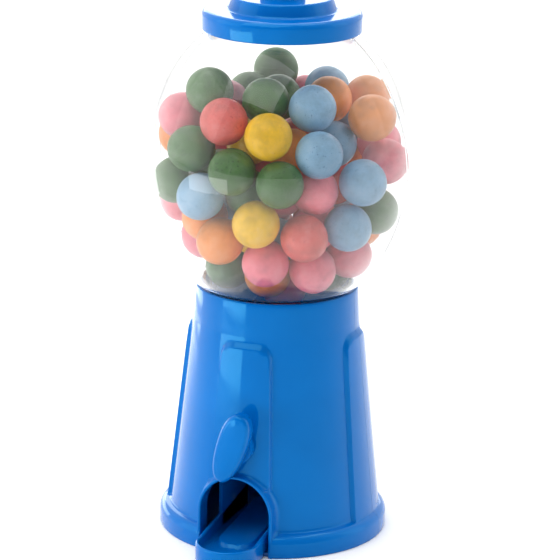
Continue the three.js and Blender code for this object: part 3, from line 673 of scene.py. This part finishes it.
def tray_section(x, y, in_x, in_y):
    """One cut through the tray, from the middle of its underside round its wall to its middle."""
    fillet = 1.3
    half = TRAY_WALL / 2
    rim = tray_rim(y)
    under = 0.15 if y < ARCH_FACE_Y + 0.2 else 1.5
    section = [(TRAY_HALF, under), (0.35, under), (0.08, under + 0.08), (0, under + 0.35), (0, rim - half)]
    section += [(half - half * math.cos(a), rim - half + half * math.sin(a))
                for a in np.linspace(0, math.pi, 11)[1:-1]]
    section += [(TRAY_WALL, rim - half)]
    section += arc(TRAY_WALL + fillet, TRAY_FLOOR + fillet, fillet, 180, 270, 7)
    loop = [(x + in_x * d, y + in_y * d, z) for d, z in section]
    for d in np.linspace(TRAY_WALL + fillet, TRAY_HALF, 44)[1:]:
        place = x + in_x * d, y + in_y * d
        loop.append((*place, tray_inside(*place)))
    return loop


def tray_cheek(side):
    """A tall side wall, rounded over, that keeps a falling gumball over the ramp."""
    outer, inner = side * TRAY_HALF, side * (TRAY_HALF - TRAY_WALL)
    top = high("chute_tray").z
    outline = [(outer, 2.0), (outer, top - 0.5), (outer - side * 0.2, top), (inner + side * 0.2, top),
               (inner, top - 0.5), (inner, 2.0)]
    front = [(x - (x - side * (TRAY_HALF - TRAY_WALL / 2)) * 0.3, CHEEK_FRONT_Y, z) for x, z in outline]
    loops = [front, *[[(x, y, z) for x, z in outline] for y in (CHEEK_FRONT_Y + 0.3, 0.0)]]
    return make_object("cheek", *loops_mesh(loops, True, False))


def chute_tray():
    loops = [tray_section(*place) for place in tray_path()]
    points, faces = loops_mesh(loops, False, False)
    count = len(loops[0])
    last = (len(loops) - 1) * count
    faces.append((*range(count), *range(last + count - 1, last - 1, -1)))
    trough = make_object("trough", points, faces)
    tray = join_meshes("dispensing_tray", trough, tray_cheek(1), tray_cheek(-1))
    return fit(tray, BLUE, "base", "chute_tray")


# ---------------------------------------------------------------- handle


GRIP_LEAN = math.radians(17)
GRIP_RISE = 0.8
GRIP_HALF_WIDTH = 5.0
GRIP_HALF_LENGTH = 12.4
GRIP_BACK_Y = -36.6


def grip_ring(inset, y, steps=96):
    """The grip's leaning outline at one depth, a little broader at its upper end."""
    roundness = 2 / 2.35
    ring = []
    for a in np.linspace(0, 2 * math.pi, steps, endpoint=False):
        c, s = math.cos(a), math.sin(a)
        along = (GRIP_HALF_LENGTH - inset) * math.copysign(abs(s) ** roundness, s)
        across = (GRIP_HALF_WIDTH - inset) * math.copysign(abs(c) ** roundness, c)
        across *= 1 + 0.10 * along / GRIP_HALF_LENGTH
        x = across * math.cos(GRIP_LEAN) + along * math.sin(GRIP_LEAN)
        z = along * math.cos(GRIP_LEAN) - across * math.sin(GRIP_LEAN)
        ring.append((x, y, AXIS_Z + GRIP_RISE + z))
    return ring


def turn_handle():
    front = GRIP_FRONT_Y
    roll = 1.7
    dome = 0.35
    back_edge = [(1.6, 0), (0.9, 0.02), (0.5, 0.12), (0.22, 0.4), (0.08, 0.9)]
    edges = [(inset, GRIP_BACK_Y - ahead) for inset, ahead in back_edge]
    edges += [(0.0, (GRIP_BACK_Y + front) / 2), (0.0, front + roll + dome)]
    edges += [(roll * (1 - math.cos(a)), front + dome + roll * (1 - math.sin(a)))
              for a in np.radians(np.arange(10, 81, 10))]
    crown = [(d, front + dome * (1 - (d - roll) / 3) ** 2) for d in np.linspace(roll, 4.85, 9)]
    rings = [grip_ring(inset, y) for inset, y in edges + crown]
    grip = make_object("grip", *loops_mesh(rings, True, False))
    hub_radius, round_edge = 5.9, 0.5
    back_round = arc(hub_radius - round_edge, HUB_BACK_Y - round_edge, round_edge, 0, 90, 5)
    hub_profile = [(0.01, GRIP_BACK_Y - 1), (hub_radius, GRIP_BACK_Y - 1),
                   (hub_radius, HUB_BACK_Y - round_edge), *back_round, (0.01, HUB_BACK_Y)]
    hub = lay_along_y(revolved("hub", hub_profile, 72), 0, AXIS_Z)
    return fit(join_meshes("handle", grip, hub), BLUE, "dispenser", "turn_handle")


# ---------------------------------------------------------------- globe and hopper


def globe_radius(z):
    rise = np.abs((z - GLOBE_MIDDLE) / GLOBE_REACH) ** GLOBE_POWER
    return GLOBE_RADIUS * (1 - rise) ** (1 / GLOBE_ROOT)


def globe_curve(inset, steps=72):
    """The glass from neck to collar, set in from its outside: (radius, height)."""
    z = GLOBE_SEAT + (GLOBE_TOP - GLOBE_SEAT) * (1 - np.cos(np.linspace(0, math.pi, steps))) / 2
    slope = globe_radius(z + 0.5) - globe_radius(z - 0.5)
    length = np.hypot(1, slope)
    return list(zip(globe_radius(z) - inset / length, z + inset * slope / length))


def globe_half(name, node, front):
    """Half of the clear globe, with its neck, its collar and the flat faces of the seam."""
    neck_bore = NECK_RADIUS - GLOBE_WALL
    collar_bore = COLLAR_RADIUS - GLOBE_WALL
    collar_top = high(node).z
    edge = 0.3
    profile = [(neck_bore, GLOBE_NECK_BOTTOM), (NECK_RADIUS, GLOBE_NECK_BOTTOM)]
    profile += [(NECK_RADIUS, GLOBE_SEAT - edge), *globe_curve(0.0)]
    profile += [(COLLAR_RADIUS, GLOBE_TOP + edge), (COLLAR_RADIUS, collar_top - edge)]
    profile += [(COLLAR_RADIUS - edge, collar_top), (collar_bore, collar_top), (collar_bore, GLOBE_TOP)]
    profile += [*globe_curve(GLOBE_WALL)[1:-1][::-1], (neck_bore, GLOBE_SEAT)]
    half = revolved(name, profile, 96, 180 if front else 0, 180, sharp_angle=40)
    shift = -SEAM_GAP / 2 if front else SEAM_GAP / 2
    narrowed = Matrix.Scale(1 - SEAM_GAP / 2 / GLOBE_RADIUS, 4, (0, 1, 0))
    half.data.transform(Matrix.Translation((0, shift * MM, 0)) @ narrowed)
    return fit(half, CLEAR, "base", node)


def hopper():
    """The sloped dish round the throat, with its rim."""
    steps = 96
    underside = DISH_LOW - DISH_WALL
    loops = []
    for a in np.linspace(0, 2 * math.pi, steps, endpoint=False):
        c, s = math.cos(a), math.sin(a)
        reach = -THROAT_Y * s + math.sqrt(DISH_EDGE ** 2 - (THROAT_Y * c) ** 2)
        climb = DISH_SLOPE * (reach - THROAT_BORE)
        loop = [(THROAT_BORE + THROAT_WALL, THROAT_BOTTOM), (THROAT_BORE + THROAT_WALL, underside)]
        loop += [(reach, underside + climb), (reach, DISH_LOW + climb)]
        loop += [(THROAT_BORE + 0.6, DISH_LOW + 0.1), (THROAT_BORE, DISH_LOW - 0.5)]
        loop += [(THROAT_BORE, THROAT_BOTTOM)]
        loops.append([(r * c, THROAT_Y + r * s, z) for r, z in loop])
    dish = make_object("dish", *loops_mesh(loops, True, True))
    bore, outside, bottom, top = 23.6, 25.4, 73.8, 78.7
    rim = revolved("rim", [(bore, bottom), (outside, bottom), (outside, top - 0.4), (outside - 0.3, top),
                           (bore + 0.6, top), (bore, top - 0.7)])
    return fit(join_meshes("hopper_dish", dish, rim), INNER_BLUE, "base", "hopper")


# ---------------------------------------------------------------- lid


def lid():
    """A stepped cap with rounded edges and a bead along the bottom of its skirt."""
    wall = 1.5
    top = LID_TOP
    round_edge = 2.0
    tier = 17.8
    tier_top = tier - 1.1
    profile = [(1.6, TIER_TOP - wall), (tier_top - wall, TIER_TOP - wall), (tier - wall, top - wall),
               (LID_RADIUS - wall, top - wall), (LID_RADIUS - wall, LID_BOTTOM + 0.3)]
    profile += arc(LID_RADIUS - wall + 0.35, LID_BOTTOM + 0.35, 0.35, 180, 270, 4)
    profile += arc(LID_RADIUS - 0.4, LID_BOTTOM + 0.4, 0.4, -90, 0, 5)
    profile += arc(LID_RADIUS - round_edge, top - round_edge, round_edge, 0, 90, 12)
    profile += [tuple(p) for p in bezier((tier + 1.0, top), (tier + 0.05, top), (tier - 0.1, top + 0.9), 8)]
    profile += arc(tier_top - 0.9, TIER_TOP - 0.9, 0.9, 14, 90, 7)
    profile += [(KNOB_RADIUS + 1.0, TIER_TOP), (1.6, TIER_TOP)]
    return fit(revolved("lid_cap", profile, 144), BLUE, "lid", "lid")


def lid_knob():
    """A squat knob with a domed top and a small fillet where it stands on the lid."""
    bottom = TIER_TOP + 0.02
    profile = [(0.01, bottom), (KNOB_RADIUS + 0.35, bottom)]
    profile += [tuple(p) for p in bezier((KNOB_RADIUS + 0.35, bottom + 0.05), (KNOB_RADIUS, bottom + 0.05),
                                         (KNOB_RADIUS - 0.03, bottom + 0.5), 5)]
    profile += arc(KNOB_RADIUS - 2.6, KNOB_TOP - 3.1, 2.6, 0, 70, 10)
    dome = bezier(profile[-1], (KNOB_RADIUS - 3.4, KNOB_TOP), (0.01, KNOB_TOP), 8)
    profile += [tuple(p) for p in dome[1:]]
    return fit(revolved("knob", profile, 96), BLUE, "lid", "lid_knob")


# ---------------------------------------------------------------- screws


def screw(node, body, axis, head_low):
    """A pan-head screw with a cross recess. head_low says that its head is at the lower end."""
    centre = middle(node)
    along = "XYZ".index(axis)
    bottom, top = low(node)[along], high(node)[along]
    head, height = 2.6, 1.6
    shank = 1.25
    length = top - bottom
    edge = 1.1
    dome = arc(head - edge, edge, edge, 270, 360, 6)
    slot_outline = [(-1.5, -0.6), (1.5, -0.6), (0.9, 0.9), (-0.9, 0.9)]
    profile = [(0.01, 0.0), *dome, (head, height), (shank, height), (shank, length - 1.2), (0.01, length)]
    body_mesh = revolved(node + "_steel", profile, 40)
    for turn in (0, 90):
        slot = prism(slot_outline, -0.28, 0.28)
        slot.data.transform(Matrix.Rotation(math.radians(turn), 4, "Z"))
        carve(body_mesh, slot)
    matrix = Matrix.Identity(4)
    if not head_low:
        matrix = Matrix.Translation((0, 0, length * MM)) @ Matrix.Rotation(math.pi, 4, "X")
    if axis == "Y":
        matrix = Matrix.Rotation(math.radians(-90), 4, "X") @ matrix
        place = Vector((centre.x, bottom, centre.z))
    else:
        place = Vector((centre.x, centre.y, bottom))
    body_mesh.data.transform(Matrix.Translation(place * MM) @ matrix)
    return fit(body_mesh, STEEL, body, node)


# ---------------------------------------------------------------- mechanism


def mechanism_part(node):
    """A part of the mechanism inside the base: the frame's own solid, in white plastic, edges softened."""
    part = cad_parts[node]
    part.data.materials.clear()
    part.data.materials.append(WHITE)
    softened = part.modifiers.new("soft_edges", "BEVEL")
    softened.width = 0.25 * MM
    softened.segments = 2
    softened.limit_method = "ANGLE"
    softened.angle_limit = math.radians(40)


# ---------------------------------------------------------------- gumballs


# Gumballs behind the ones that the frame holds: colour, azimuth in degrees from the front
# (positive to the right), height, and distance from the globe's axis.
BEHIND = [
    ("green", -4, 148, 2), ("blue", 160, 147, 24), ("green", -155, 151, 27), ("orange", 1, 91, 13),
    ("green", 125, 88, 18), ("coral", 128, 132, 6), ("green", -8, 120, 21), ("blue", -80, 109, 14),
    ("pink", -175, 141, 33), ("blue", -98, 120, 34),
]
REAR_RINGS = [
    # height, distance from the axis, first azimuth, last azimuth, how many
    (98, 25, 140, 235, 3), (110, 33, 130, 240, 5), (124, 35, 140, 240, 5), (139, 34, 150, 232, 4),
    (99, 8, 180, 180, 1), (111, 15, -30, 210, 4), (125, 17, 30, 330, 4), (140, 13, 60, 300, 3),
    (112, 2, 0, 0, 1), (127, 2, 0, 0, 1),
]


def place_of(azimuth, height, distance):
    a = math.radians(azimuth)
    return distance * math.sin(a), -distance * math.cos(a), height


def seen_gumballs():
    """Where the gumballs that show between the frame's own ones start, and their colours."""
    return [(color, place_of(*where)) for color, *where in BEHIND]


def hidden_gumballs(rng):
    """Where the gumballs at the back and in the middle of the pile start, and their colours."""
    starts = []
    for height, distance, first, last, count in REAR_RINGS:
        for azimuth in np.linspace(first, last, count):
            color = rng.choice(sorted(GUMBALL_LOOKS))
            starts.append((color, place_of(azimuth, height + rng.uniform(-2, 2), distance)))
    return starts


def keep_in_globe(place, glass, clear):
    """Moves a gumball's middle off the glass and off the hopper's dish."""
    radius = math.hypot(place[0], place[1])
    if place[2] < GLOBE_SEAT and radius > NECK_RADIUS - GLOBE_WALL - clear:
        place[:2] *= (NECK_RADIUS - GLOBE_WALL - clear) / radius
        radius = math.hypot(place[0], place[1])
    gaps = np.hypot(glass[:, 0] - radius, glass[:, 1] - place[2])
    nearest = gaps.argmin()
    inside = radius < globe_radius(np.clip(place[2], GLOBE_SEAT, GLOBE_TOP))
    if gaps[nearest] < clear or not inside:
        away = np.array([radius, place[2]]) - glass[nearest]
        away *= (1 if inside else -1) * clear / max(np.hypot(*away), 1e-6)
        target = glass[nearest] + away
        place[:2] *= target[0] / max(radius, 1e-6)
        place[2] = target[1]
    dish = DISH_LOW + DISH_SLOPE * (math.hypot(place[0], place[1] - THROAT_Y) - THROAT_BORE)
    place[2] = max(place[2], dish + clear * 1.04)
    return place


def settled(fixed, starts, turns, sink):
    """Pushes loose gumballs off each other, the fixed ones and the glass until none touch."""
    clear = BALL_RADIUS + 0.12
    glass = np.array(globe_curve(GLOBE_WALL, 90))
    places = np.array([place for _, place in starts], float)
    for _ in range(turns):
        for i in range(len(places)):
            others = np.vstack([fixed, np.delete(places, i, axis=0)])
            apart = places[i] - others
            gaps = np.linalg.norm(apart, axis=1)
            touching = (gaps < 2 * clear) & (gaps > 1e-9)
            push = apart[touching] * ((2 * clear - gaps[touching]) / gaps[touching])[:, None]
            places[i] += 0.5 * push.sum(axis=0) - (0, 0, sink)
            places[i] = keep_in_globe(places[i], glass, clear)
    return places


def gumball(name, place, seed):
    """A gumball: nearly round, with soft lumps and a few shallow dents."""
    rng = random.Random(seed)
    ball = bmesh.new()
    bmesh.ops.create_icosphere(ball, subdivisions=5, radius=1.0)
    offset = Vector([rng.uniform(-50, 50) for _ in range(3)])
    dents = []
    for _ in range(3):
        toward = Vector([rng.gauss(0, 1) for _ in range(3)]).normalized()
        dents.append((toward, rng.uniform(0.15, 0.3)))
    for vertex in ball.verts:
        direction = vertex.co.normalized()
        lumps = 0.010 * noise.noise(direction * 1.4 + offset) + 0.0035 * noise.noise(direction * 6 + offset)
        hollow = sum(0.008 * math.exp(-((direction - d).length / size) ** 2) for d, size in dents)
        vertex.co = direction * BALL_RADIUS * (0.996 + lumps - hollow)
    mesh = bpy.data.meshes.new(name)
    ball.to_mesh(mesh)
    ball.free()
    mesh.transform(Matrix.Translation(Vector(place) * MM) @ Matrix.Scale(MM, 4))
    obj = bpy.data.objects.new(name, mesh)
    bpy.context.scene.collection.objects.link(obj)
    shade(obj, 60)
    return obj


def gumballs():
    rng = random.Random(7)
    nodes = sorted(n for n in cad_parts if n.startswith("gumball_"))
    fixed = np.array([tuple(middle(n)) for n in nodes])
    for i, (node, place) in enumerate(zip(nodes, fixed)):
        color = node.split("_")[1]
        ball = gumball(node + "_shell", place, i)
        fit(ball, GUMBALL_SHELLS[color], "base", node)
    seen, hidden = seen_gumballs(), hidden_gumballs(rng)
    seen_places = settled(fixed, seen, 200, 0.0)
    standing = np.vstack([fixed, seen_places])
    hidden_places = settled(standing, hidden, 400, 0.03)
    hidden_places = settled(standing, [("", place) for place in hidden_places], 200, 0.0)
    everyone = np.vstack([standing, hidden_places])
    for i, (color, _) in enumerate(seen + hidden):
        place = everyone[len(fixed) + i]
        gaps = np.sort(np.linalg.norm(everyone - place, axis=1))
        if gaps[1] < 2 * BALL_RADIUS - 0.5:
            continue
        ball = gumball(f"gumball_behind_{color}_{i}", place, 100 + i)
        fit(ball, GUMBALL_SHELLS[color], "base")


# ---------------------------------------------------------------- assembly


base_front()
base_rear()
bottom_cover()
chute_tray()
turn_handle()
globe_half("globe_front", "globe_front_half", True)
globe_half("globe_rear", "globe_rear_half", False)
hopper()
lid()
lid_knob()
gumballs()
for number in (1, 2, 3):
    screw(f"cover_screw_{number}", "base", "Z", True)
for number in (1, 2, 3, 4):
    screw(f"shell_screw_{number}", "base", "Y", False)
for number in (1, 2):
    screw(f"housing_screw_{number}", "base", "Y", False)
screw("lid_knob_screw", "lid", "Z", True)
for node in ("drum_housing", "dispensing_drum", "handle_shaft", "shaft_bushing"):
    mechanism_part(node)

# ---------------------------------------------------------------- camera, light and floor

# name, place in metres, what it faces, width, height, power in watts
SOFT_BOXES = (
    ("left_box", (-0.88, -0.46, 0.45), (0, 0, 0.10), 0.9, 0.8, 1.8),
    ("left_card", (-0.250, -0.308, 0.050), (0, 0, 0.050), 0.26, 0.09, 0.32),
    ("left_rim", (-0.261, 0.148, 0.045), (0, 0, 0.045), 0.20, 0.08, 0.15),
    ("front_box", (-0.15, -0.50, 1.0), (0, 0, 0.13), 0.9, 0.7, 4.4),
    ("back_box", (-0.40, 1.05, 0.55), (0, 0, 0.17), 1.0, 0.6, 4.6),
    ("right_box", (1.1, 0.45, 0.5), (0, 0, 0.1), 0.6, 0.9, 0.9),
    ("top_box", (0.0, 0.25, 1.2), (0, 0, 0.1), 0.9, 0.6, 3.2),
)
ROOM_FRONT = (0.35, -0.93, 0.12)
ROOM_BRIGHT_UNTIL = 0.0
ROOM_DIM_FROM = 0.8
ROOM_BRIGHT = 1.24
ROOM_DIM = 0.30

CAMERA_DISTANCE = 950.0
CAMERA_HEIGHT = 361.3
CAMERA_AZIMUTH = 20.5
CAMERA_PITCH = 16.215
CAMERA_YAW = -0.0573
CAMERA_ROLL = 1.146
CAMERA_LENS = 189.67


def camera():
    data = bpy.data.cameras.new("camera")
    data.lens = CAMERA_LENS
    data.sensor_width = 36.0
    data.clip_end = 20
    obj = bpy.data.objects.new("camera", data)
    azimuth = math.radians(CAMERA_AZIMUTH)
    x, y = CAMERA_DISTANCE * math.sin(azimuth), -CAMERA_DISTANCE * math.cos(azimuth)
    place = Vector((x, y, CAMERA_HEIGHT))
    turn = Matrix.Rotation(math.radians(CAMERA_AZIMUTH + CAMERA_YAW), 4, "Z")
    tilt = Matrix.Rotation(math.radians(90 - CAMERA_PITCH), 4, "X")
    roll = Matrix.Rotation(math.radians(CAMERA_ROLL), 4, "Z")
    obj.matrix_world = Matrix.Translation(place * MM) @ turn @ tilt @ roll
    bpy.context.scene.collection.objects.link(obj)
    bpy.context.scene.camera = obj
    bpy.context.scene.view_settings.view_transform = "Standard"


def area_light(name, place, target, width, height, power):
    data = bpy.data.lights.new(name, "AREA")
    data.shape = "RECTANGLE"
    data.size = width
    data.size_y = height
    data.energy = power
    obj = bpy.data.objects.new(name, data)
    obj.location = place
    obj.visible_camera = False
    obj.visible_transmission = False
    obj.rotation_euler = (Vector(target) - Vector(place)).to_track_quat("-Z", "Y").to_euler()
    bpy.context.scene.collection.objects.link(obj)
    return obj


def studio():
    """A white room, dim at the front, with soft boxes round it and two low cards beside the base."""
    world = bpy.data.worlds.new("studio")
    world.use_nodes = True
    nodes, links = world.node_tree.nodes, world.node_tree.links
    along = nodes.new("ShaderNodeVectorMath")
    along.operation = "DOT_PRODUCT"
    links.new(nodes.new("ShaderNodeTexCoord").outputs["Generated"], along.inputs[0])
    along.inputs[1].default_value = ROOM_FRONT
    shade_off = nodes.new("ShaderNodeMapRange")
    shade_off.interpolation_type = "SMOOTHSTEP"
    shade_off.inputs["From Min"].default_value = ROOM_BRIGHT_UNTIL
    shade_off.inputs["From Max"].default_value = ROOM_DIM_FROM
    shade_off.inputs["To Min"].default_value = ROOM_BRIGHT
    shade_off.inputs["To Max"].default_value = ROOM_DIM
    links.new(along.outputs["Value"], shade_off.inputs["Value"])
    links.new(shade_off.outputs["Result"], nodes["Background"].inputs["Strength"])
    nodes["Background"].inputs["Color"].default_value = (1, 1, 1, 1)
    bpy.context.scene.world = world
    for box in SOFT_BOXES:
        area_light(*box)


def floor():
    look = Look("floor", (0.98, 0.98, 0.98), 0.9, Specular_IOR_Level=0.1)
    mesh = bpy.data.meshes.new("floor")
    reach = 4.0
    corners = [(-reach, -reach, 0), (reach, -reach, 0), (reach, reach, 0), (-reach, reach, 0)]
    mesh.from_pydata(corners, [], [(0, 1, 2, 3)])
    mesh.materials.append(look.material)
    obj = bpy.data.objects.new("floor", mesh)
    bpy.context.scene.collection.objects.link(obj)


camera()
studio()
floor()
